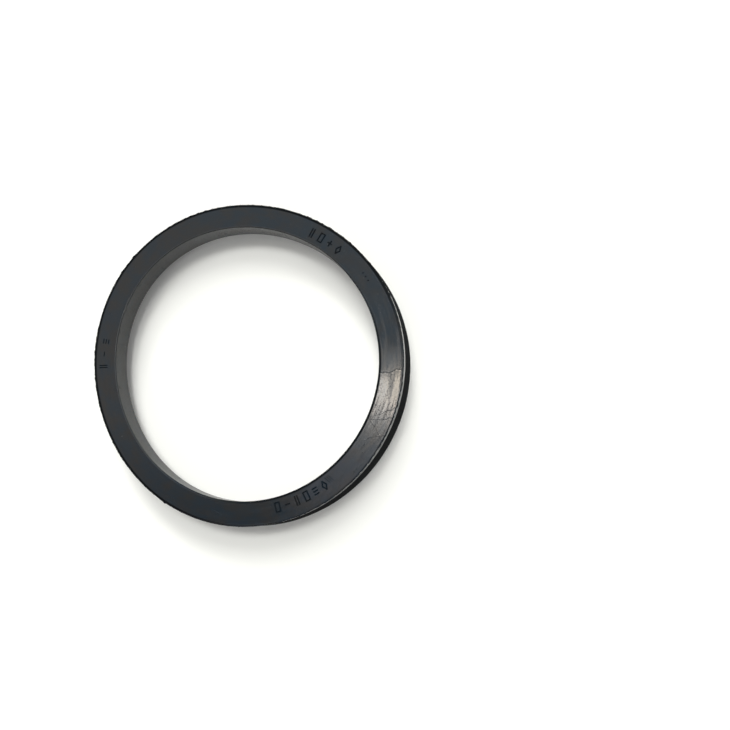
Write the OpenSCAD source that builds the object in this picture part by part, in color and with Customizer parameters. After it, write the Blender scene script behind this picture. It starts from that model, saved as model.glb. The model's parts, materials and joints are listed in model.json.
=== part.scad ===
// Rubber V-ring shaft seal: a soft body that grips a turning shaft, and a thin conical
// lip that is joined to it by a hinge and runs against a flat counterface.
// The axis of the bore is Z. The lip's tip rests on z = 0 and the flat back face is on top.

/* [Body] */
// Diameter of the bore before the ring is stretched over its shaft
bore_d = 58; // [48:0.5:68]
// Radial height of the body, from the bore to the outer wall
body_h = 5; // [4.6:0.1:6]
// Length of the seat in the bore, from the back face to the lip
seat_len = 5.5; // [5.2:0.1:6.5]
// Length of the outer wall, from the back face to the V-groove
wall_len = 2.5; // [2.2:0.1:3.4]

/* [Lip] */
// Width of the whole ring before it is fitted, from the back face to the lip's tip
free_w = 9; // [8.5:0.1:10]
// How far the lip's tip stands out past the outer wall
lip_reach = 0.24; // [0:0.02:0.6]
// Thickness of the hinge that carries the lip
hinge_t = 1.2; // [1:0.05:1.4]
// Thickness of the lip at its tip
tip_t = 0.5; // [0.4:0.05:0.7]
// Radial distance from the bore to the bottom of the V-groove
hinge_h = 1.9; // [1.6:0.1:2.2]

/* [Edges] */
// Radius of the two edges of the bore
bore_edge_r = 0.25; // [0.1:0.05:0.4]
// Radius of the two edges of the outer wall
rim_edge_r = 0.3; // [0.1:0.05:0.5]
// Radius at the bottom of the V-groove
groove_r = 0.35; // [0.2:0.05:0.5]

/* [Hidden] */

// Facets of the revolved solid in the preview
$fn = 180;
// Largest turn between two points of a rounded edge, in degrees
arc_step = 15;

bore_r = bore_d / 2;
wall_r = bore_r + body_h;
tip_r = tip_t / 2;

// The section is drawn as [radius, height]. These corners are still sharp.
bore_front = [bore_r, free_w - seat_len];
bore_back = [bore_r, free_w];
rim_back = [wall_r, free_w];
rim_front = [wall_r, free_w - wall_len];

// The tip is a half round that touches the counterface and the ring's outermost cylinder
tip_centre = [wall_r + lip_reach - tip_r, tip_r];
// The sealing cone runs from the front edge of the bore and touches the tip
cone_end = tangent_point(bore_front, tip_centre, tip_r, 1);
cone_dir = unit(cone_end - bore_front);
// The bottom of the groove lies one hinge thickness behind the sealing cone
groove_rise = (hinge_t + hinge_h * cone_dir.y) / cone_dir.x;
groove_bottom = [bore_r + hinge_h, bore_front.y + groove_rise];
// The lip's back runs from the bottom of the groove and touches the tip's other side
lip_back_end = tangent_point(groove_bottom, tip_centre, tip_r, -1);

function unit(v) = v / norm(v);
function bearing(v) = atan2(v.y, v.x);
function polar(radius, angle) = radius * [cos(angle), sin(angle)];
// Brings an angle into the half-open turn from -180 to 180 degrees
function short_turn(angle) = angle - 360 * floor((angle + 180) / 360);

// Points along an arc about a centre, its two ends among them
function arc(centre, radius, from, turn) =
    let (steps = max(2, ceil(abs(turn) / arc_step)))
    [for (i = [0 : steps]) centre + polar(radius, from + turn * i / steps)];

// Point where a line from the given point touches a circle, on the side that is 1 or -1
function tangent_point(point, centre, radius, side) =
    let (
        away = point - centre,
        swing = side * acos(radius / norm(away))
    )
    centre + polar(radius, bearing(away) + swing);

// The arc that rounds a corner between its two neighbours
function rounded(before, corner, after, radius) =
    let (
        back = unit(before - corner),
        ahead = unit(after - corner),
        half = acos(back * ahead) / 2,
        centre = corner + unit(back + ahead) * radius / sin(half),
        from = bearing(corner + back * radius / tan(half) - centre),
        to = bearing(corner + ahead * radius / tan(half) - centre)
    )
    arc(centre, radius, from, short_turn(to - from));

// The half round at the lip's tip, from the lip's back round to the sealing cone.
// Its two arcs share the lowest point, so the tip stands exactly on z = 0.
function tip_arc() =
    let (
        from = bearing(lip_back_end - tip_centre),
        to = bearing(cone_end - tip_centre),
        outer = arc(tip_centre, tip_r, from, short_turn(-90 - from)),
        inner = arc(tip_centre, tip_r, -90, short_turn(to + 90))
    )
    concat(outer, [for (i = [1 : len(inner) - 1]) inner[i]]);

// Section of the ring in order: bore, back face, outer wall, V-groove, lip and sealing cone
module section() {
    polygon(concat(
        rounded(bore_front, bore_back, rim_back, bore_edge_r),
        rounded(bore_back, rim_back, rim_front, rim_edge_r),
        rounded(rim_back, rim_front, groove_bottom, rim_edge_r),
        rounded(rim_front, groove_bottom, lip_back_end, groove_r),
        tip_arc(),
        rounded(cone_end, bore_front, bore_back, bore_edge_r)
    ));
}

// The whole seal is moulded in one piece
module v_ring() {
    color([0.13, 0.14, 0.15])
        rotate_extrude()
            section();
}

v_ring();
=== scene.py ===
"""A rubber V-ring shaft seal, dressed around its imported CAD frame."""

import json
import math

import bpy
from bpy.props import FloatProperty, FloatVectorProperty, IntProperty, PointerProperty
from mathutils import Matrix, Vector


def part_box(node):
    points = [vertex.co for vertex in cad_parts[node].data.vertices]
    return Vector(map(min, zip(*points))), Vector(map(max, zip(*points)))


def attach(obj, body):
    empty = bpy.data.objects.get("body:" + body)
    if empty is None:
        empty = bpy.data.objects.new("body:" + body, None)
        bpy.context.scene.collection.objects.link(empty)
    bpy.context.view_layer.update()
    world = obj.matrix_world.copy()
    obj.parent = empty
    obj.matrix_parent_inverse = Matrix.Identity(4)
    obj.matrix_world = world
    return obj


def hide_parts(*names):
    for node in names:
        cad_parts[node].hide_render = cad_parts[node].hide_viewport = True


bl_info = {
    "name": "V-Ring Shaft Seal",
    "version": (1, 0, 0),
    "blender": (4, 5, 0),
    "location": "3D View > Sidebar > Seal",
    "description": "Moulds a rubber V-ring seal, finishes its surface and sets a plain stage",
    "category": "Object",
}

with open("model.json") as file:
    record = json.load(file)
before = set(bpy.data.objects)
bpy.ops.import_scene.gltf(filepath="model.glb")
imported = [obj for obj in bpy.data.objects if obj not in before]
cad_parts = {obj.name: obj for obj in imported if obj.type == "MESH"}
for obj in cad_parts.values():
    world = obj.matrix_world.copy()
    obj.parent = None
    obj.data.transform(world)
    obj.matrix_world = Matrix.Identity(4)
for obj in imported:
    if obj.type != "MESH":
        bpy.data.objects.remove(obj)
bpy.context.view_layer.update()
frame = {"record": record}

NODE = "v_ring"
BODY = "root"
SLOT = "black_rubber"
RING = "moulded_v_ring"
MM = 0.001

MOUNTS = {mount["name"]: mount for mount in frame["record"]["mounts"]}
BORE_R = MOUNTS["shaft_seat"]["dims"]["r_mm"] * MM
RING_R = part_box(NODE)[1].x
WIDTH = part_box(NODE)[1].z
BODY_H = 5 * MM
# Directions out from the ring's axis: to its lower right, seen from above, and to its worst scuffs
LOWER_RIGHT = (0.77, -0.64, 0)
SCUFFED_SIDE = (0.67, -0.742, 0)


# Sizes and colours


class SealSection(bpy.types.PropertyGroup):
    """Driving sizes of the ring's section. Only the rim's edges are sharper than the CAD part's."""

    bore_radius: FloatProperty(
        name="Bore radius", description="Radius of the seat in the bore", default=BORE_R, unit="LENGTH"
    )
    body_height: FloatProperty(
        name="Body height", description="From the bore to the outer wall", default=BODY_H, unit="LENGTH"
    )
    free_width: FloatProperty(
        name="Free width", description="From the back face to the lip's tip", default=WIDTH, unit="LENGTH"
    )
    seat_length: FloatProperty(
        name="Seat length", description="Length of the seat in the bore", default=5.5 * MM, unit="LENGTH"
    )
    wall_length: FloatProperty(
        name="Wall length", description="Length of the outer wall", default=2.5 * MM, unit="LENGTH"
    )
    lip_reach: FloatProperty(
        name="Lip reach",
        description="How far the lip's tip stands out past the outer wall",
        default=RING_R - BORE_R - BODY_H,
        unit="LENGTH",
    )
    hinge_thickness: FloatProperty(
        name="Hinge thickness",
        description="Rubber between groove and cone",
        default=1.2 * MM,
        unit="LENGTH",
    )
    hinge_height: FloatProperty(
        name="Hinge height",
        description="From the bore to the groove's bottom",
        default=1.9 * MM,
        unit="LENGTH",
    )
    tip_thickness: FloatProperty(
        name="Tip thickness", description="Thickness of the lip at its tip", default=0.5 * MM, unit="LENGTH"
    )
    bore_edge: FloatProperty(
        name="Bore edge",
        description="Radius of the two edges of the bore",
        default=0.25 * MM,
        unit="LENGTH",
    )
    rim_edge: FloatProperty(
        name="Rim edge", description="Radius of the outer wall's edges", default=0.2 * MM, unit="LENGTH"
    )
    groove_bottom: FloatProperty(
        name="Groove bottom", description="Radius at the groove's bottom", default=0.35 * MM, unit="LENGTH"
    )


class SealForm(bpy.types.PropertyGroup):
    """How finely the ring is built, and how a soft moulding departs from a true circle"""

    segments: IntProperty(name="Segments", description="Steps round the ring", default=1200, min=24)
    arc_step: FloatProperty(
        name="Arc step",
        description="Largest turn between two points of a rounded edge",
        default=math.radians(14),
        subtype="ANGLE",
    )
    stretch_step: FloatProperty(
        name="Stretch step",
        description="Largest step along a straight stretch",
        default=2 * MM,
        unit="LENGTH",
    )
    edge_guard: FloatProperty(
        name="Edge guard",
        description="Distance of the first point beside a rounded edge, which keeps the flat flat",
        default=0.06 * MM,
        unit="LENGTH",
    )
    oval: FloatProperty(
        name="Oval", description="How far the ring is out of round", default=0.51 * MM, unit="LENGTH"
    )
    oval_turn: FloatProperty(
        name="Oval turn",
        description="Direction of its long axis",
        default=math.radians(-52.4),
        subtype="ANGLE",
    )
    lobes: FloatProperty(
        name="Lobes", description="Height of its three low lobes", default=0.27 * MM, unit="LENGTH"
    )
    lobes_turn: FloatProperty(
        name="Lobes turn", description="Direction of one lobe", default=math.radians(16), subtype="ANGLE"
    )
    flash_height: FloatProperty(
        name="Flash height",
        description="How far the moulding flash stands out of the back edge",
        default=0.19 * MM,
        unit="LENGTH",
    )
    flash_spacing: FloatProperty(
        name="Flash spacing", description="Size of the flash's nibs", default=0.9 * MM, unit="LENGTH"
    )
    rim_swell: FloatProperty(
        name="Rim swell", description="How far the back face's rim swells", default=0.04 * MM, unit="LENGTH"
    )
    bore_swell: FloatProperty(
        name="Bore swell",
        description="How far the bore's back edge swells inwards at the lower right",
        default=0.2 * MM,
        unit="LENGTH",
    )
    lip_wave: FloatProperty(
        name="Lip wave", description="Waviness of the thin lip", default=0.05 * MM, unit="LENGTH"
    )


class SealMarks(bpy.types.PropertyGroup):
    """Plain mould marks that are sunk in the back face"""

    stroke: FloatProperty(
        name="Stroke", description="Width of a stroke", default=0.33 * MM, unit="LENGTH"
    )
    depth: FloatProperty(
        name="Depth",
        description="Depth of a full stroke, which is V-shaped",
        default=0.14 * MM,
        unit="LENGTH",
    )
    height: FloatProperty(
        name="Height", description="Height of a mark", default=2.2 * MM, unit="LENGTH"
    )
    width: FloatProperty(
        name="Width", description="Width of a mark", default=1.25 * MM, unit="LENGTH"
    )
    radius: FloatProperty(
        name="Radius", description="Radius of the line through the marks", default=31.1 * MM, unit="LENGTH"
    )


class RubberFinish(bpy.types.PropertyGroup):
    """Colours and textures of the black rubber"""

    blue_black: FloatVectorProperty(
        name="Blue black", description="Cool patches", default=(0.0062, 0.012, 0.0182), subtype="COLOR"
    )
    olive_black: FloatVectorProperty(
        name="Olive black", description="Warm patches", default=(0.0122, 0.0122, 0.0124), subtype="COLOR"
    )
    # Painted shade: a darker black for the groove, the lip and the dull bands
    shade_black: FloatVectorProperty(
        name="Shade black",
        description="Painted shade for the groove, the lip and the dull bands",
        default=(0.0046, 0.0053, 0.0063),
        subtype="COLOR",
    )
    # Painted highlight: a pale grey for the bore's rounded back edge
    painted_highlight_grey: FloatVectorProperty(
        name="Painted highlight grey",
        description="Painted highlight on the bore's edge",
        default=(0.033, 0.0345, 0.0355),
        subtype="COLOR",
    )
    dust: FloatVectorProperty(
        name="Dust", description="Dust specks", default=(0.3, 0.31, 0.31), subtype="COLOR"
    )
    face_roughness: FloatProperty(
        name="Face roughness",
        description="Roughness of the smooth back face",
        default=0.045,
        subtype="FACTOR",
    )
    streak_roughness: FloatProperty(
        name="Streak roughness",
        description="Added by the dull streaks of the face",
        default=0.11,
        subtype="FACTOR",
    )
    scuff_roughness: FloatProperty(
        name="Scuff roughness",
        description="Added by the scuffs of the face",
        default=0.13,
        subtype="FACTOR",
    )
    grain_roughness: FloatProperty(
        name="Grain roughness",
        description="Added by the coarse spots of the grain",
        default=0.16,
        subtype="FACTOR",
    )
    wall_roughness: FloatProperty(
        name="Wall roughness", description="Roughness of the outer wall", default=0.08, subtype="FACTOR"
    )
    dull_roughness: FloatProperty(
        name="Dull roughness", description="Roughness of the dull bands", default=1.0, subtype="FACTOR"
    )
    # The dull bands are rougher and also painted darker, as painted shade along the rim and along the bore
    rim_band: FloatProperty(
        name="Rim band",
        description="Width of the dull band along the rim",
        default=0.6 * MM,
        unit="LENGTH",
    )
    bore_band: FloatProperty(
        name="Bore band",
        description="Width of the dull band along the bore",
        default=0.4 * MM,
        unit="LENGTH",
    )
    lip_roughness: FloatProperty(
        name="Lip roughness",
        description="Roughness of the groove and the lip",
        default=0.7,
        subtype="FACTOR",
    )
    side_roughness: FloatProperty(
        name="Side roughness",
        description="Roughness of the bore and the cone",
        default=0.42,
        subtype="FACTOR",
    )
    patch: FloatProperty(
        name="Patch", description="Size of a colour patch", default=4 * MM, unit="LENGTH"
    )
    turning: FloatProperty(
        name="Turning", description="Spacing of the turning marks", default=0.35 * MM, unit="LENGTH"
    )
    grain: FloatProperty(
        name="Grain", description="Size of the grain", default=0.3 * MM, unit="LENGTH"
    )
    relief: FloatProperty(
        name="Relief", description="Height of the finest relief", default=0.0025 * MM, unit="LENGTH"
    )


class SealStage(bpy.types.PropertyGroup):
    """Camera, lamps, floor and surroundings"""

    camera_place: FloatVectorProperty(
        name="Camera place",
        description="Where the camera stands",
        default=(59.1 * MM, -24.0 * MM, 189.2 * MM),
        subtype="TRANSLATION",
    )
    camera_pitch: FloatProperty(
        name="Camera pitch", description="Turn about X", default=math.radians(7.33), subtype="ANGLE"
    )
    camera_roll: FloatProperty(
        name="Camera roll", description="Turn about Y", default=math.radians(10.31), subtype="ANGLE"
    )
    lens: FloatProperty(name="Lens", description="Focal length on a 36 mm sensor, in mm", default=44.4)
    floor_side: FloatProperty(
        name="Floor side", description="Side of the floor", default=3, unit="LENGTH"
    )
    floor_white: FloatVectorProperty(
        name="Floor white",
        description="Colour of the white floor",
        default=(0.86, 0.865, 0.82),
        subtype="COLOR",
    )
    floor_lift: FloatProperty(
        name="Floor lift",
        description="Glow that the camera sees on the lit floor",
        default=0.12,
        subtype="FACTOR",
    )
    ceiling_height: FloatProperty(
        name="Ceiling height", description="Height of the lamps that glare", default=1.2, unit="LENGTH"
    )
    zenith: FloatProperty(name="Zenith", description="Brightness of the ceiling", default=0.85)
    horizon: FloatProperty(name="Horizon", description="Brightness near the horizon", default=0.09)


# Wiring of node trees


class Wiring:
    """Adds nodes to a tree and joins them, with plain numbers where a socket isn't fed"""

    def __init__(self, tree):
        self.tree = tree

    def feed(self, socket, value):
        if isinstance(value, bpy.types.NodeSocket):
            self.tree.links.new(value, socket)
        elif value is not None:
            socket.default_value = value

    def node(self, kind, inputs=None, **settings):
        made = self.tree.nodes.new(kind)
        for name, value in settings.items():
            setattr(made, name, value)
        for key, value in (inputs or {}).items():
            self.feed(made.inputs[key], value)
        return made

    def math(self, operation, *values):
        made = self.node("ShaderNodeMath", operation=operation)
        for socket, value in zip(made.inputs, values):
            self.feed(socket, value)
        return made.outputs[0]

    def product(self, first, *others):
        for value in others:
            first = self.math("MULTIPLY", first, value)
        return first

    def total(self, first, *others):
        for value in others:
            first = self.math("ADD", first, value)
        return first

    def vector(self, operation, *values):
        made = self.node("ShaderNodeVectorMath", operation=operation)
        for socket, value in zip(made.inputs, values):
            self.feed(socket, value)
        return made.outputs["Value" if operation in ("LENGTH", "DOT_PRODUCT") else "Vector"]

    def scaled(self, vector, factor):
        return self.node(
            "ShaderNodeVectorMath", {"Vector": vector, "Scale": factor}, operation="SCALE"
        ).outputs["Vector"]

    def split(self, vector):
        return self.node("ShaderNodeSeparateXYZ", {"Vector": vector}).outputs

    def joined(self, x=0.0, y=0.0, z=0.0):
        return self.node("ShaderNodeCombineXYZ", {"X": x, "Y": y, "Z": z}).outputs["Vector"]

    def ramp(self, value, low, high, out_low=0.0, out_high=1.0, smooth=False):
        """Follows a value from low to high and stands still outside them"""
        inputs = {"Value": value, "From Min": low, "From Max": high, "To Min": out_low, "To Max": out_high}
        kind = "SMOOTHSTEP" if smooth else "LINEAR"
        return self.node("ShaderNodeMapRange", inputs, interpolation_type=kind).outputs["Result"]

    def blend(self, share, number, other):
        """One number where the share is 0, the other where it is 1"""
        return self.ramp(share, 0, 1, number, other)

    def tinted(self, share, colour, other):
        """One colour where the share is 0, the other where it is 1"""
        made = self.node("ShaderNodeMix", {"Factor": share}, data_type="RGBA")
        self.feed(made.inputs["A"], colour)
        self.feed(made.inputs["B"], other)
        return made.outputs["Result"]

    def noise(self, vector, scale=1.0, detail=2.0, roughness=0.5):
        inputs = {"Vector": vector, "Scale": scale, "Detail": detail, "Roughness": roughness}
        return self.node("ShaderNodeTexNoise", inputs).outputs["Fac"]


def new_tree(name, sizes):
    """A geometry tree with one geometry in, one out, and a named input for each size"""
    tree = bpy.data.node_groups.new(name, "GeometryNodeTree")
    tree.interface.new_socket("Geometry", in_out="INPUT", socket_type="NodeSocketGeometry")
    for label, kind in sizes.items():
        tree.interface.new_socket(label, in_out="INPUT", socket_type="NodeSocket" + kind)
    tree.interface.new_socket("Geometry", in_out="OUTPUT", socket_type="NodeSocketGeometry")
    wiring = Wiring(tree)
    return tree, wiring, wiring.node("NodeGroupInput").outputs


def close_tree(wiring, geometry, material):
    """Ends a tree in Realize Instances and Set Material"""
    real = wiring.node("GeometryNodeRealizeInstances", {"Geometry": geometry}).outputs["Geometry"]
    dressed = wiring.node("GeometryNodeSetMaterial", {"Geometry": real, "Material": material})
    wiring.node("NodeGroupOutput", {"Geometry": dressed.outputs["Geometry"]})


def run_tree(piece, tree, values):
    """Runs a tree on a piece and keeps the result as its plain mesh"""
    modifier = piece.modifiers.new(tree.name, "NODES")
    modifier.node_group = tree
    for item in tree.interface.items_tree:
        if item.in_out == "INPUT" and item.name in values:
            modifier[item.identifier] = values[item.name]
    bpy.context.view_layer.update()
    shape = piece.evaluated_get(bpy.context.evaluated_depsgraph_get())
    made = bpy.data.meshes.new_from_object(shape)
    piece.modifiers.remove(modifier)
    spent = piece.data
    piece.data = made
    bpy.data.meshes.remove(spent)


def mesh_from(name, points, edges=(), faces=()):
    mesh = bpy.data.meshes.new(name)
    mesh.from_pydata([tuple(point) for point in points], list(edges), list(faces))
    mesh.update()
    return mesh


def placed(name, data):
    """A new object in the scene"""
    made = bpy.data.objects.new(name, data)
    bpy.context.scene.collection.objects.link(made)
    return made


# Section of the ring, drawn as radius and height


def bearing(v):
    return math.atan2(v.y, v.x)


def polar(radius, angle):
    return Vector((math.cos(angle), math.sin(angle))) * radius


def short_turn(angle):
    """The same turn, brought between minus and plus half a turn"""
    return angle - math.tau * math.floor((angle + math.pi) / math.tau)


def arc(centre, radius, start, turn, step):
    """Points along an arc, its two ends among them"""
    steps = max(2, math.ceil(abs(turn) / step))
    return [centre + polar(radius, start + turn * i / steps) for i in range(steps + 1)]


def tangent_point(point, centre, radius, side):
    """Where a line from the point touches a circle, on the side that is 1 or -1"""
    away = point - centre
    swing = side * math.acos(radius / away.length)
    return centre + polar(radius, bearing(away) + swing)


def rounded(before, corner, after, radius, step):
    """The arc that rounds a corner between its two neighbours"""
    back = (before - corner).normalized()
    ahead = (after - corner).normalized()
    half = math.acos(back.dot(ahead)) / 2
    centre = corner + (back + ahead).normalized() * (radius / math.sin(half))
    start = bearing(corner + back * (radius / math.tan(half)) - centre)
    end = bearing(corner + ahead * (radius / math.tan(half)) - centre)
    return arc(centre, radius, start, short_turn(end - start), step)


def section_arcs(size, step):
    """The rounded edges of the section in order, from the bore's back edge round to its front edge"""
    wall_r = size.bore_radius + size.body_height
    tip_r = size.tip_thickness / 2
    bore_front = Vector((size.bore_radius, size.free_width - size.seat_length))
    bore_back = Vector((size.bore_radius, size.free_width))
    rim_back = Vector((wall_r, size.free_width))
    rim_front = Vector((wall_r, size.free_width - size.wall_length))
    tip_centre = Vector((wall_r + size.lip_reach - tip_r, tip_r))
    cone_end = tangent_point(bore_front, tip_centre, tip_r, 1)
    cone = (cone_end - bore_front).normalized()
    groove_rise = (size.hinge_thickness + size.hinge_height * cone.y) / cone.x
    groove = bore_front + Vector((size.hinge_height, groove_rise))
    lip_back_end = tangent_point(groove, tip_centre, tip_r, -1)
    tip_start = bearing(lip_back_end - tip_centre)
    tip_end = bearing(cone_end - tip_centre)
    lowest = -math.pi / 2
    tip_out = arc(tip_centre, tip_r, tip_start, short_turn(lowest - tip_start), step)
    tip_in = arc(tip_centre, tip_r, lowest, short_turn(tip_end - lowest), step)
    return [
        rounded(bore_front, bore_back, rim_back, size.bore_edge, step),
        rounded(bore_back, rim_back, rim_front, size.rim_edge, step),
        rounded(rim_back, rim_front, groove, size.rim_edge, step),
        rounded(rim_front, groove, lip_back_end, size.groove_bottom, step),
        tip_out + tip_in[1:],
        rounded(cone_end, bore_front, bore_back, size.bore_edge, step),
    ]


def stretch(start, end, form):
    """Points between two arcs: one guard beside each, and even steps between the guards"""
    length = (end - start).length
    guard = form.edge_guard / length
    steps = max(1, math.ceil(length / form.stretch_step))
    shares = [guard + (1 - 2 * guard) * i / steps for i in range(steps + 1)]
    return [start.lerp(end, share) for share in shares]


def section_outline(size, form):
    """The closed outline of the section"""
    arcs = section_arcs(size, form.arc_step)
    outline = []
    for bend, following in zip(arcs, arcs[1:] + arcs[:1]):
        outline += bend
        outline += stretch(bend[-1], following[0], form)
    return outline


# The moulded ring

# Flash and swell fade out below the back face and away from its two edges: from and to
FADE_DOWN = (0.1 * MM, 0.42 * MM)
FADE_ACROSS = (0.02 * MM, 0.3 * MM)
# Where, towards the lower right, the bore's edge with its painted highlight gives way to a swollen one:
# from and to
EDGE_CHANGE = (-0.1, 0.25)
# The lip waves from its tip up to this height
WAVED_HEIGHT = 3 * MM


def out_of_round(w, at, oval, oval_turn, lobes, lobes_turn):
    """How far the soft ring bends outwards at a place, as a value of a node tree"""
    angle = w.math("ARCTAN2", at["Y"], at["X"])

    def lobe(count, turn, height):
        phase = w.math("MULTIPLY", w.math("SUBTRACT", angle, turn), count)
        return w.math("MULTIPLY", w.math("COSINE", phase), height)

    return w.math("ADD", lobe(2, oval_turn, oval), lobe(3, lobes_turn, lobes))


def flash_nibs(w, given, outward):
    """Nibs of flash that come and go round the ring, from 0 to a little over 1"""
    fineness = w.math("DIVIDE", given["Path Radius"], given["Flash Spacing"])
    nibs = w.ramp(w.noise(w.scaled(outward, fineness), detail=3, roughness=0.65), 0.47, 0.7)
    stretches = w.ramp(w.noise(w.scaled(outward, 2.6), detail=1), 0.38, 0.58)
    return w.math("MULTIPLY", nibs, w.math("ADD", stretches, 0.25))


def edge_shift(w, given, at, radius, outward):
    """How far the back face's edges and the lip stand outwards of the true section"""
    high = w.ramp(w.math("SUBTRACT", given["Top"], at["Z"]), *FADE_DOWN, 1, 0)
    far = w.ramp(w.math("SUBTRACT", given["Rim Radius"], radius), *FADE_ACROSS, 1, 0)
    on_rim = w.math("MULTIPLY", high, far)
    flash = w.product(flash_nibs(w, given, outward), on_rim, given["Flash Height"])
    # Both edges of the back face swell a little, the bore's only at the lower right
    lower_right = w.vector("DOT_PRODUCT", outward, LOWER_RIGHT)
    near = w.ramp(w.math("SUBTRACT", radius, given["Path Radius"]), *FADE_ACROSS, 1, 0)
    on_bore = w.product(near, high, w.ramp(lower_right, *EDGE_CHANGE))
    swell = w.math("MULTIPLY", on_rim, given["Rim Swell"])
    swell = w.math("SUBTRACT", swell, w.math("MULTIPLY", on_bore, given["Bore Swell"]))
    # The lip is thin, so its edge waves a little
    on_lip = w.ramp(at["Z"], 0, WAVED_HEIGHT, 1, 0)
    wave = w.math("SUBTRACT", w.noise(w.scaled(outward, 5)), 0.5)
    wave = w.product(wave, on_lip, w.math("MULTIPLY", given["Lip Wave"], 2))
    return w.total(flash, wave, swell)


def ring_tree(material, names):
    """Sweeps the section round a circle, then gives the ring its out-of-round, flash and wavy lip"""
    sizes = {name: "Int" if name == "Segments" else "Float" for name in names}
    tree, w, given = new_tree("Moulded Ring", sizes)
    profile = w.node("GeometryNodeMeshToCurve", {"Mesh": given["Geometry"]}).outputs["Curve"]
    path = w.node("GeometryNodeCurvePrimitiveCircle", {"Resolution": given["Segments"]}, mode="RADIUS")
    w.feed(path.inputs["Radius"], given["Path Radius"])
    sweep = w.node("GeometryNodeCurveToMesh", {"Curve": path.outputs["Curve"], "Profile Curve": profile})

    at = w.split(w.node("GeometryNodeInputPosition").outputs["Position"])
    flat = w.joined(at["X"], at["Y"])
    outward = w.vector("NORMALIZE", flat)
    bent = out_of_round(w, at, given["Oval"], given["Oval Turn"], given["Lobes"], given["Lobes Turn"])
    extra = edge_shift(w, given, at, w.vector("LENGTH", flat), outward)
    shift = w.scaled(outward, w.math("ADD", bent, extra))
    shaped = w.node("GeometryNodeSetPosition", {"Geometry": sweep.outputs["Mesh"], "Offset": shift})
    close_tree(w, shaped.outputs["Geometry"], material)
    return tree


class SEAL_OT_mould_ring(bpy.types.Operator):
    """Moulds the ring from its section and puts it in the CAD part's place"""

    bl_idname = "seal.mould_ring"
    bl_label = "Mould ring"

    def execute(self, context):
        size = context.scene.seal_section
        form = context.scene.seal_form
        outline = section_outline(size, form)
        # The profile's X runs from the path's circle outwards and its Y runs down
        points = [(point.x - size.bore_radius, -point.y, 0) for point in outline]
        edges = [(i, (i + 1) % len(points)) for i in range(len(points))]
        ring = placed(RING, mesh_from(RING, points, edges))
        values = {
            "Segments": form.segments,
            "Path Radius": size.bore_radius,
            "Top": size.free_width,
            "Rim Radius": size.bore_radius + size.body_height,
            "Oval": form.oval,
            "Oval Turn": form.oval_turn,
            "Lobes": form.lobes,
            "Lobes Turn": form.lobes_turn,
            "Flash Height": form.flash_height,
            "Flash Spacing": form.flash_spacing,
            "Rim Swell": form.rim_swell,
            "Bore Swell": form.bore_swell,
            "Lip Wave": form.lip_wave,
        }
        run_tree(ring, ring_tree(rubber(), values), values)
        if not ring.data.polygons:
            raise RuntimeError("the ring has no faces")
        return {"FINISHED"}


# Plain mould marks


def closed(*corners):
    """Strokes from corner to corner and back to the first"""
    return list(zip(corners, corners[1:] + corners[:1]))


# Each mark is drawn as strokes in a cell that is 1 wide and 1 high
MARKS = {
    "box": closed((-0.5, -0.5), (0.5, -0.5), (0.5, 0.5), (-0.5, 0.5)),
    "kite": closed((0, -0.5), (0.5, 0), (0, 0.5), (-0.5, 0)),
    "pair": [((-0.28, -0.5), (-0.28, 0.5)), ((0.28, -0.5), (0.28, 0.5))],
    "cross": [((-0.5, 0), (0.5, 0)), ((0, -0.32), (0, 0.32))],
    "dash": [((-0.5, 0), (0.5, 0))],
    "steps": [((-0.5, -0.34), (0.5, -0.34)), ((-0.5, 0), (0.5, 0)), ((-0.5, 0.34), (0.5, 0.34))],
    "dot": [((0, -0.03), (0, 0.03))],
    "hair": [((0.3, -0.4), (-0.1, 0.4))],
}
# Each row: the first mark's angle, the angle from mark to mark, the marks, their scale,
# how far out they lie and their share of a full stroke's width and depth
MARK_ROWS = [
    (-54.4, -3.94, ("kite", "steps", "box", "pair", "dash", "box"), 1.0, 0.25 * MM, 1.0),
    (62.8, -4.27, ("pair", "box", "cross", "kite"), 1.0, -0.4 * MM, 1.0),
    (172.1, 5, ("steps", "dash", "pair"), 0.9, 0.4 * MM, 0.75),
    (36.3, -1.8, ("dot", "dot", "dot"), 0.9, 0.15 * MM, 0.8),
    (-52.2, 0.8, ("hair", "hair", "hair"), 1.0, -0.2 * MM, 0.3),
]
# How much longer than its stroke a bar is, in stroke widths, so that bars meet at a corner
BAR_OVERLAP = 0.6


def mark_strokes(marks):
    """Middle, turn, length and share of a full section, for every stroke of every row"""
    strokes = []
    for first, step, names, scale, further_out, share in MARK_ROWS:
        for index, name in enumerate(names):
            around = math.radians(first + step * index)
            middle = polar(marks.radius + further_out, around)
            for ends in MARKS[name]:
                # The cell's top points outwards and its width lies along the ring
                start, end = (
                    middle
                    + polar(x * (marks.width - marks.stroke) * scale, around - math.pi / 2)
                    + polar(y * (marks.height - marks.stroke) * scale, around)
                    for x, y in ends
                )
                strokes.append(((start + end) / 2, bearing(end - start), (end - start).length, share))
    return strokes


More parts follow.
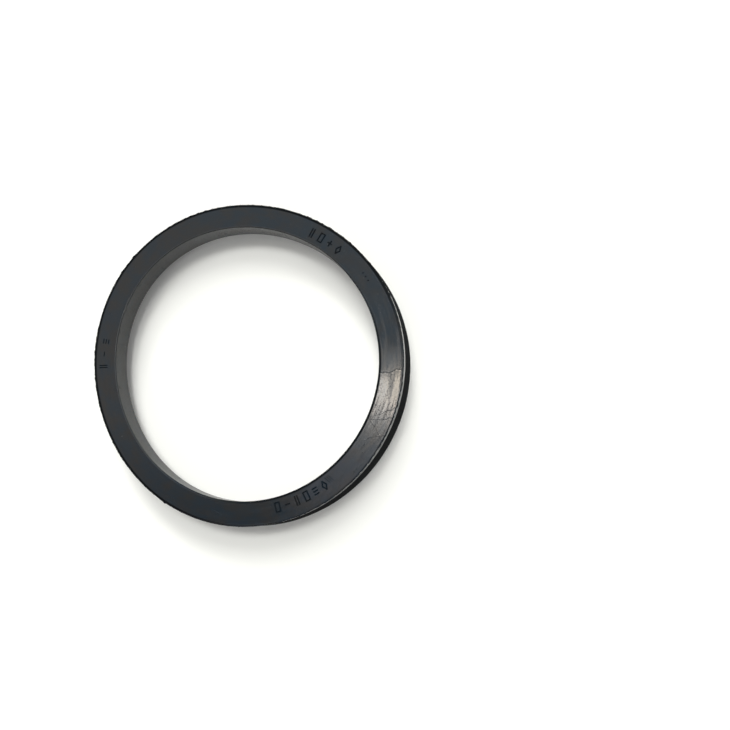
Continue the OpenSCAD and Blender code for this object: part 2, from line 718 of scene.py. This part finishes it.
def marks_tree(material):
    """Sinks a V-shaped bar at each stroke's point into the ring"""
    tree, w, given = new_tree("Mould Marks", {"Strokes": "Object", "Stroke": "Float", "Depth": "Float"})
    points = w.node("GeometryNodeObjectInfo", {"Object": given["Strokes"]}).outputs["Geometry"]

    def kept(name):
        reader = w.node("GeometryNodeInputNamedAttribute", {"Name": name}, data_type="FLOAT")
        return reader.outputs["Attribute"]

    # A bar with four sides stands on its edge and lies along X
    upright = w.node("GeometryNodeMeshCylinder", {"Vertices": 4, "Radius": 0.5, "Depth": 1.0})
    lying = {"Geometry": upright.outputs["Mesh"], "Rotation": (0, math.pi / 2, 0)}
    bar = w.node("GeometryNodeTransform", lying)
    size = w.joined(
        w.math("ADD", kept("length"), w.math("MULTIPLY", given["Stroke"], BAR_OVERLAP)),
        w.math("MULTIPLY", given["Stroke"], kept("share")),
        w.math("MULTIPLY", given["Depth"], w.math("MULTIPLY", kept("share"), 2)),
    )
    bars = w.node("GeometryNodeInstanceOnPoints", {"Points": points, "Instance": bar.outputs["Geometry"]})
    w.feed(bars.inputs["Rotation"], w.joined(z=kept("turn")))
    w.feed(bars.inputs["Scale"], size)
    joined = w.node("GeometryNodeMeshBoolean", operation="UNION", solver="EXACT")
    w.feed(joined.inputs["Mesh 2"], bars.outputs["Instances"])
    cut = w.node("GeometryNodeMeshBoolean", operation="DIFFERENCE", solver="MANIFOLD")
    w.feed(cut.inputs["Mesh 1"], given["Geometry"])
    w.feed(cut.inputs["Mesh 2"], joined.outputs["Mesh"])
    close_tree(w, cut.outputs["Mesh"], material)
    return tree


class SEAL_OT_sink_marks(bpy.types.Operator):
    """Sinks rows of plain mould marks into the ring's back face"""

    bl_idname = "seal.sink_marks"
    bl_label = "Sink marks"

    def execute(self, context):
        marks = context.scene.seal_marks
        top = context.scene.seal_section.free_width
        ring = bpy.data.objects[RING]
        middles, turns, lengths, shares = zip(*mark_strokes(marks))
        cutter = mesh_from("strokes", [(middle.x, middle.y, top) for middle in middles])
        for name, values in (("turn", turns), ("length", lengths), ("share", shares)):
            cutter.attributes.new(name, "FLOAT", "POINT").data.foreach_set("value", values)
        points = placed("strokes", cutter)
        before = len(ring.data.polygons)
        values = {"Strokes": points, "Stroke": marks.stroke, "Depth": marks.depth}
        run_tree(ring, marks_tree(rubber()), values)
        bpy.data.objects.remove(points)
        bpy.data.meshes.remove(cutter)
        if len(ring.data.polygons) <= before:
            raise RuntimeError("the marks cut nothing")
        return {"FINISHED"}


# Black rubber

# Fine creases in the face: the angle where each crosses the ring, its lean, half width and height
CREASES = [
    (-0.07, 0.28, 0.24 * MM, 2.0),
    (-0.34, 0.8, 0.12 * MM, 1.0),
    (-0.38, 0.5, 0.18 * MM, 1.6),
    (-0.45, -0.6, 0.16 * MM, 1.4),
    (-0.52, 0.9, 0.14 * MM, 1.4),
]
# Hairline scratches: the slant of each set, its sizes along and across, and a line's thickness
SCRATCHES = [
    (0.5, 11 * MM, 1.1 * MM, 0.006),
    (-1.1, 9 * MM, 1.4 * MM, 0.005),
]
# Height of each texture, in shares of the relief
LINE_HEIGHT = 0.26
BAND_HEIGHT = 0.9
GRAIN_HEIGHT = 0.06
SCRATCH_HEIGHT = -0.3
SCUFF_HEIGHT = 1.2
SCRATCH_ROUGHNESS = 0.2
# Cells in a metre: of the dust, of the creases' bends and of the scratched places
DUST_CELLS = 420.0
CREASE_BENDS = 500
SCRATCHED_PLACES = 330
# Of the dust: the share of the cells without a speck, a speck's largest size in cells, its cover
CLEAN_SHARE = 0.9
SPECK_SIZE = 0.045
SPECK_COVER = 0.5
# Edges of the ring's mesh that turn by more than this look sharp
SHARP_TURN = math.radians(35)
# How fast a pattern changes up a wall, for each step that it changes out across the face
WALL_SHARE = 0.83


def rubber():
    """The rubber's material, made once and wired by its own operator"""
    material = bpy.data.materials.get(SLOT)
    if material is None:
        material = bpy.data.materials.new(SLOT)
        material.use_nodes = True
    return material


class RubberWiring(Wiring):
    """The rubber's wiring, with the places on the ring that its patterns follow"""

    def __init__(self, tree, finish, size, form):
        super().__init__(tree)
        self.finish = finish
        self.top = size.free_width
        self.wall_foot = size.free_width - size.wall_length
        self.rim_edge = size.rim_edge
        self.bore_r = size.bore_radius
        self.rim_r = size.bore_radius + size.body_height
        self.place = self.node("ShaderNodeTexCoord").outputs["Object"]
        self.at = self.split(self.place)
        self.flat = self.joined(self.at["X"], self.at["Y"])
        self.around = self.vector("NORMALIZE", self.flat)
        self.lower_right = self.vector("DOT_PRODUCT", self.around, LOWER_RIGHT)
        # The radius that a point has in the true section
        bent = out_of_round(self, self.at, form.oval, form.oval_turn, form.lobes, form.lobes_turn)
        self.radius = self.math("SUBTRACT", self.vector("LENGTH", self.flat), bent)
        self.across = self.math("ADD", self.radius, self.math("MULTIPLY", self.at["Z"], WALL_SHARE))

    def turned(self, slow, spacing):
        """Coordinates that run slowly round the ring and fast across its section"""
        fast = self.joined(z=self.math("DIVIDE", self.across, spacing))
        return self.vector("ADD", self.scaled(self.around, slow), fast)

    def slanted(self, turn, slow_size, fast_size):
        """Coordinates that run slowly along one slant of the face and fast across it"""
        spun = self.node(
            "ShaderNodeVectorRotate", {"Vector": self.place, "Angle": turn}, rotation_type="Z_AXIS"
        )
        sides = self.split(spun.outputs["Vector"])
        slow = self.math("DIVIDE", sides["X"], slow_size)
        return self.joined(slow, self.math("DIVIDE", sides["Y"], fast_size))

    def on_face(self):
        return self.ramp(self.at["Z"], self.top - 0.1 * MM, self.top - 0.03 * MM)

    def near_top(self):
        """The back face with its two rounded edges"""
        return self.ramp(self.at["Z"], self.top - 1.2 * self.rim_edge, self.top - self.rim_edge)

    def on_wall(self):
        """The outer wall, without its edges"""
        near_rim = self.ramp(self.radius, self.rim_r - 0.13 * MM, self.rim_r - 0.07 * MM)
        return self.math("MULTIPLY", near_rim, self.math("GREATER_THAN", self.at["Z"], self.top / 2))

    def on_lip(self):
        """The groove and the lip"""
        below_wall = self.math("LESS_THAN", self.at["Z"], self.wall_foot - 0.1 * MM)
        off_bore = self.math("GREATER_THAN", self.radius, self.bore_r + 0.8 * MM)
        return self.math("MULTIPLY", below_wall, off_bore)

    def painted_highlight_edge(self):
        """A painted highlight: the bore's rounded back edge is painted pale, except at the lower right"""
        near_bore = self.ramp(self.radius, self.bore_r + 0.35 * MM, self.bore_r + 0.2 * MM)
        return self.product(near_bore, self.near_top(), self.ramp(self.lower_right, *EDGE_CHANGE, 1, 0))

    def dull_shaded_bands(self):
        """A dull band runs along the rim, and another along the bore at the lower right; both are rougher
        and painted darker as painted shade
        """
        rim_band = self.finish.rim_band
        bore_band = self.finish.bore_band
        on_rim = self.ramp(self.radius, self.rim_r - rim_band, self.rim_r - 0.75 * rim_band)
        on_rim = self.math("MULTIPLY", on_rim, self.ramp(self.lower_right, 0.3, 0.85, 1, 0.05))
        on_brim = self.ramp(self.radius, self.bore_r + bore_band, self.bore_r + 0.7 * bore_band)
        on_brim = self.math("MULTIPLY", on_brim, self.ramp(self.lower_right, 0.3, 0.8, 0, 0.9))
        return self.math("MULTIPLY", self.math("MAXIMUM", on_rim, on_brim), self.near_top())

    def dust(self):
        """A speck of dust in about one cell of ten"""
        cells = self.node("ShaderNodeTexVoronoi", {"Vector": self.place, "Scale": DUST_CELLS})
        chance = self.split(cells.outputs["Color"])["X"]
        speck = self.ramp(chance, CLEAN_SHARE, 1, 0, SPECK_SIZE)
        inside = self.math("LESS_THAN", cells.outputs["Distance"], speck)
        return self.math("MULTIPLY", inside, SPECK_COVER)

    def hairlines(self, turn, slow_size, fast_size, thickness):
        """Thin lines where a stretched noise crosses its middle, kept in places only"""
        stretched = self.noise(self.slanted(turn, slow_size, fast_size), detail=1)
        crossing = self.math("ABSOLUTE", self.math("SUBTRACT", stretched, 0.5))
        kept = self.ramp(self.noise(self.place, SCRATCHED_PLACES), 0.55, 0.62)
        return self.math("MULTIPLY", self.ramp(crossing, 0, thickness, 1, 0), kept)

    def scuffs(self):
        """The face is scuffed faintly at the lower right, and most below the glare"""
        slant = self.slanted(-1.05, 4 * MM, 1 * MM)
        rubbed = self.ramp(self.noise(slant, detail=4, roughness=0.65), 0.44, 0.66)
        faint = self.math("MULTIPLY", self.ramp(self.lower_right, 0.72, 0.9), 0.06)
        strong = self.ramp(self.vector("DOT_PRODUCT", self.around, SCUFFED_SIDE), 0.9, 0.96)
        return self.math("MULTIPLY", rubbed, self.math("ADD", faint, strong))

    def crease(self, angle, lean, width, height):
        """A fine ridge that crosses the face at an angle of the ring and leans along it"""
        bend = self.math("SUBTRACT", self.noise(self.place, CREASE_BENDS), 0.5)
        outwards = self.math("SUBTRACT", self.radius, (self.bore_r + self.rim_r) / 2)
        middle = self.total(self.math("MULTIPLY", outwards, lean), self.math("MULTIPLY", bend, 1.6 * MM))
        along = self.vector("DOT_PRODUCT", self.flat, (-math.sin(angle), math.cos(angle), 0))
        out = self.vector("DOT_PRODUCT", self.flat, (math.cos(angle), math.sin(angle), 0))
        away = self.math("ABSOLUTE", self.math("SUBTRACT", along, middle))
        ridge = self.ramp(away, 0, width, height, 0, smooth=True)
        return self.math("MULTIPLY", ridge, self.math("GREATER_THAN", out, 0))

    def highest(self, layers):
        top = layers[0]
        for layer in layers[1:]:
            top = self.math("MAXIMUM", top, layer)
        return top

    def colour(self, painted_shade):
        """Cool and warm patches, smeared along the turning, with dust, a painted highlight on the bore's
        edge, and painted shade in the groove, on the lip and along the dull bands
        """
        finish = self.finish
        patches = self.noise(self.place, 1 / finish.patch, detail=3, roughness=0.6)
        smears = self.noise(self.turned(9, finish.turning * 3.5), detail=3, roughness=0.6)
        mottle = self.total(patches, self.math("MULTIPLY", self.math("SUBTRACT", smears, 0.5), 0.6))
        tone = self.ramp(mottle, 0.38, 0.62)
        colour = self.tinted(tone, (*finish.blue_black, 1), (*finish.olive_black, 1))
        colour = self.tinted(self.dust(), colour, (*finish.dust, 1))
        # Painted highlight: a pale grey along the bore's rounded back edge
        colour = self.tinted(self.painted_highlight_edge(), colour, (*finish.painted_highlight_grey, 1))
        # Painted shade: the groove, the lip and the dull bands are painted darker
        return self.tinted(painted_shade, colour, (*finish.shade_black, 1))

    def roughness(self, grain, scratches, scuffs, on_lip, dull):
        """The roughness of each area in turn, with the coarse grain and the scratches over all"""
        finish = self.finish
        streaks = self.noise(self.turned(4, finish.turning * 2), detail=4, roughness=0.65)
        streaked = self.math("MULTIPLY", self.ramp(streaks, 0.45, 0.63), finish.streak_roughness)
        scuffed = self.math("MULTIPLY", scuffs, finish.scuff_roughness)
        face = self.total(streaked, finish.face_roughness, scuffed)
        fore_and_aft = self.math("ABSOLUTE", self.split(self.around)["Y"])
        side = self.ramp(fore_and_aft, 0.7, 1, finish.side_roughness, 0.6 * finish.side_roughness)
        side = self.blend(on_lip, side, finish.lip_roughness)
        side = self.blend(self.on_wall(), side, finish.wall_roughness)
        rough = self.blend(self.on_face(), side, face)
        rough = self.blend(dull, rough, finish.dull_roughness)
        coarse = self.ramp(grain, 0.5, 0.75, 0, finish.grain_roughness)
        return self.total(rough, coarse, self.math("MULTIPLY", scratches, SCRATCH_ROUGHNESS))

    def relief(self, grain, scratches, scuffs):
        """Height of the turning marks, the grain, the scratches, the scuffs and the creases"""
        turning = self.finish.turning
        lines = self.noise(self.turned(7, turning), detail=3, roughness=0.7)
        bands = self.noise(self.turned(4, turning * 3))
        return self.total(
            self.math("MULTIPLY", lines, LINE_HEIGHT),
            self.math("MULTIPLY", bands, BAND_HEIGHT),
            self.math("MULTIPLY", grain, GRAIN_HEIGHT),
            self.math("MULTIPLY", scratches, SCRATCH_HEIGHT),
            self.math("MULTIPLY", scuffs, SCUFF_HEIGHT),
            self.highest([self.crease(*line) for line in CREASES]),
        )


def wire_rubber(material, finish, size, form):
    """Mottled black rubber with turning marks, hairline scratches, grain and a little dust"""
    material.node_tree.nodes.clear()
    w = RubberWiring(material.node_tree, finish, size, form)
    grain = w.noise(w.place, 1 / finish.grain, detail=3, roughness=0.6)
    scratches = w.highest([w.hairlines(*lines) for lines in SCRATCHES])
    scuffs = w.scuffs()
    on_lip = w.on_lip()
    dull = w.dull_shaded_bands()
    # The groove, the lip and the dull bands get painted shade
    colour = w.colour(w.math("MAXIMUM", on_lip, dull))
    rough = w.roughness(grain, scratches, scuffs, on_lip, dull)
    height = w.relief(grain, scratches, scuffs)
    bump = w.node("ShaderNodeBump", {"Strength": 1.0, "Distance": finish.relief, "Height": height})
    shader = w.node("ShaderNodeBsdfPrincipled", {"Base Color": colour, "Roughness": rough, "IOR": 1.5})
    w.feed(shader.inputs["Normal"], bump.outputs["Normal"])
    w.node("ShaderNodeOutputMaterial", {"Surface": shader.outputs["BSDF"]})


class SEAL_OT_finish_rubber(bpy.types.Operator):
    """Finishes the ring's surface, hides the CAD part and hangs the ring on its body"""

    bl_idname = "seal.finish_rubber"
    bl_label = "Finish rubber"

    def execute(self, context):
        ring = bpy.data.objects[RING]
        scene = context.scene
        wire_rubber(rubber(), scene.rubber_finish, scene.seal_section, scene.seal_form)
        ring.data.shade_smooth()
        ring.data.set_sharp_from_angle(angle=SHARP_TURN)
        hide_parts(NODE)
        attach(ring, BODY)
        return {"FINISHED"}


# Stage


def seen_rays(w):
    """1 for the rays that show the background: camera, glossy and transmission rays"""
    path = w.node("ShaderNodeLightPath").outputs
    mirrored = w.math("MAXIMUM", path["Is Glossy Ray"], path["Is Transmission Ray"])
    return w.math("MAXIMUM", path["Is Camera Ray"], mirrored)


def floor_material(stage):
    """White floor that shows white to the camera and keeps its shadows"""
    material = bpy.data.materials.new("white_floor")
    material.use_nodes = True
    material.node_tree.nodes.clear()
    w = Wiring(material.node_tree)
    white = w.node("ShaderNodeBsdfDiffuse", {"Color": (*stage.floor_white, 1)})
    lift = w.math("MULTIPLY", seen_rays(w), stage.floor_lift)
    glow = w.node("ShaderNodeEmission", {"Strength": lift})
    both = w.node("ShaderNodeAddShader")
    w.feed(both.inputs[0], white.outputs["BSDF"])
    w.feed(both.inputs[1], glow.outputs["Emission"])
    w.node("ShaderNodeOutputMaterial", {"Surface": both.outputs["Shader"]})
    return material


def lay_floor(stage):
    """A square white floor at the height that the ring lies on"""
    half = stage.floor_side / 2
    corners = [(-half, -half, 0), (half, -half, 0), (half, half, 0), (-half, half, 0)]
    floor = placed("floor", mesh_from("floor", corners, faces=[(0, 1, 2, 3)]))
    floor.data.materials.append(floor_material(stage))


# Tints of the ceiling that the face mirrors, warm at the left and cool at the right
WARM_SKY = (1, 0.975, 0.93, 1)
COOL_SKY = (0.88, 1, 1.08, 1)
WHITE = (1, 1, 1, 1)


def wire_surroundings(world, stage):
    """A pale ceiling that darkens towards the horizon, white where the camera sees it"""
    world.use_nodes = True
    world.node_tree.nodes.clear()
    w = Wiring(world.node_tree)
    way = w.split(w.node("ShaderNodeTexCoord").outputs["Generated"])
    height = w.ramp(way["Z"], 0.6, 0.9, stage.horizon, stage.zenith, smooth=True)
    # The near side of the ceiling is darker than the far side
    far_side = w.ramp(way["Y"], -0.08, 0.09, 0.36, 1, smooth=True)
    light = w.math("MULTIPLY", height, far_side)
    # The white background stands round the horizon, and the camera sees nothing else
    backdrop = w.ramp(way["Z"], 0.05, 0.1, 1, 0)
    backdrop = w.math("MAXIMUM", backdrop, w.node("ShaderNodeLightPath").outputs["Is Camera Ray"])
    seen = seen_rays(w)
    strength = w.math("MAXIMUM", light, w.math("MULTIPLY", seen, backdrop))
    sky = w.tinted(w.ramp(way["X"], -0.45, -0.15), WARM_SKY, COOL_SKY)
    mirrored = w.math("MULTIPLY", seen, w.math("SUBTRACT", 1, backdrop))
    colour = w.tinted(mirrored, WHITE, sky)
    background = w.node("ShaderNodeBackground", {"Color": colour, "Strength": strength})
    w.node("ShaderNodeOutputWorld", {"Surface": background.outputs["Background"]})


# Distant soft lamps: how far each stands off the vertical along X and Y for each metre of height,
# the width under which it is seen in degrees, and its strength
SOFT_LAMPS = {
    "steep_left_lamp": (-0.11, 0.235, 11, 0.62),
    "steep_right_lamp": (0.11, 0.235, 11, 0.62),
    "low_lamp": (0.053, 0.692, 18, 0.88),
    "far_lamp": (-0.22, 1.06, 15, 0.85),
    "front_lamp": (-0.45, -0.6, 20, 0.24),
}


def soft_lamp(name, slope_x, slope_y, width, strength):
    """A distant lamp that lights without glare, because its mirror image would only dazzle"""
    lamp = bpy.data.lights.new(name, "SUN")
    lamp.energy = strength
    lamp.angle = math.radians(width)
    holder = placed(name, lamp)
    holder.rotation_euler = Vector((slope_x, slope_y, 1)).to_track_quat("Z", "Y").to_euler()
    holder.visible_glossy = False


# Width of the camera's sensor
SENSOR_MM = 36
# Middle of the glare's lamps
GLARE_MIDDLE = Vector((-0.155, 0.11))
# Panels of light in the ceiling: left and right edge, near and far edge, their turn in degrees
# about the glare's middle, glow and colour
CEILING_LAMPS = {
    "left_panel": (-0.205, -0.157, 0.073, 0.137, 11, 12.8, (1, 0.95, 0.88)),
    "right_panel": (-0.157, -0.105, 0.061, 0.137, 11, 13.4, (1, 0.88, 0.73)),
    "upper_panel": (-0.205, -0.105, 0.137, 0.178, 11, 1.2, (1, 1, 1)),
    "lower_panel": (-0.23, -0.105, 0.04, 0.075, 11, 2.6, (1, 0.97, 0.94)),
    "long_panel": (-0.3, -0.16, -0.075, 0.045, 0, 0.75, (1, 0.9, 0.95)),
}


def ceiling_lamp(name, left, right, near, far, turn, glow, colour, height):
    """A flat panel that shines straight down, with the given brightness to look at"""
    lamp = bpy.data.lights.new(name, "AREA")
    lamp.shape = "RECTANGLE"
    lamp.size = right - left
    lamp.size_y = far - near
    lamp.energy = glow * math.pi * lamp.size * lamp.size_y
    lamp.color = colour
    middle = Vector(((left + right) / 2, (near + far) / 2))
    turned = GLARE_MIDDLE + Matrix.Rotation(math.radians(turn), 2) @ (middle - GLARE_MIDDLE)
    holder = placed(name, lamp)
    holder.location = (turned.x, turned.y, height)
    holder.rotation_euler.z = math.radians(turn)


def set_camera(stage):
    """The camera at the photograph's viewing angle"""
    view = bpy.data.cameras.new("camera")
    view.lens = stage.lens
    view.sensor_width = SENSOR_MM
    view.clip_start = 0.01
    view.clip_end = 10
    camera = placed("camera", view)
    camera.location = stage.camera_place
    turn = Matrix.Rotation(stage.camera_pitch, 3, "X") @ Matrix.Rotation(stage.camera_roll, 3, "Y")
    camera.rotation_euler = turn.to_euler()
    bpy.context.scene.camera = camera


class SEAL_OT_set_stage(bpy.types.Operator):
    """Sets the floor, the surroundings, the lamps and the camera"""

    bl_idname = "seal.set_stage"
    bl_label = "Set stage"

    def execute(self, context):
        scene = context.scene
        stage = scene.seal_stage
        lay_floor(stage)
        if scene.world is None:
            scene.world = bpy.data.worlds.new("surroundings")
        wire_surroundings(scene.world, stage)
        for name, lamp in SOFT_LAMPS.items():
            soft_lamp(name, *lamp)
        for name, panel in CEILING_LAMPS.items():
            ceiling_lamp(name, *panel, stage.ceiling_height)
        set_camera(stage)
        scene.view_settings.view_transform = "Standard"
        return {"FINISHED"}


class SEAL_PT_panel(bpy.types.Panel):
    """Lists the steps that make the seal"""

    bl_idname = "SEAL_PT_panel"
    bl_label = "V-Ring Seal"
    bl_space_type = "VIEW_3D"
    bl_region_type = "UI"
    bl_category = "Seal"

    def draw(self, context):
        for operator in OPERATORS:
            self.layout.operator(operator.bl_idname)


GROUPS = {
    "seal_section": SealSection,
    "seal_form": SealForm,
    "seal_marks": SealMarks,
    "rubber_finish": RubberFinish,
    "seal_stage": SealStage,
}
OPERATORS = (SEAL_OT_mould_ring, SEAL_OT_sink_marks, SEAL_OT_finish_rubber, SEAL_OT_set_stage)


def register():
    for kind in (*GROUPS.values(), *OPERATORS, SEAL_PT_panel):
        bpy.utils.register_class(kind)
    for name, group in GROUPS.items():
        setattr(bpy.types.Scene, name, PointerProperty(type=group))


def unregister():
    for name in GROUPS:
        delattr(bpy.types.Scene, name)
    for kind in (SEAL_PT_panel, *reversed(OPERATORS), *reversed(GROUPS.values())):
        bpy.utils.unregister_class(kind)


def main():
    register()
    bpy.ops.seal.mould_ring()
    bpy.ops.seal.sink_marks()
    bpy.ops.seal.finish_rubber()
    bpy.ops.seal.set_stage()


if __name__ == "__main__":
    main()
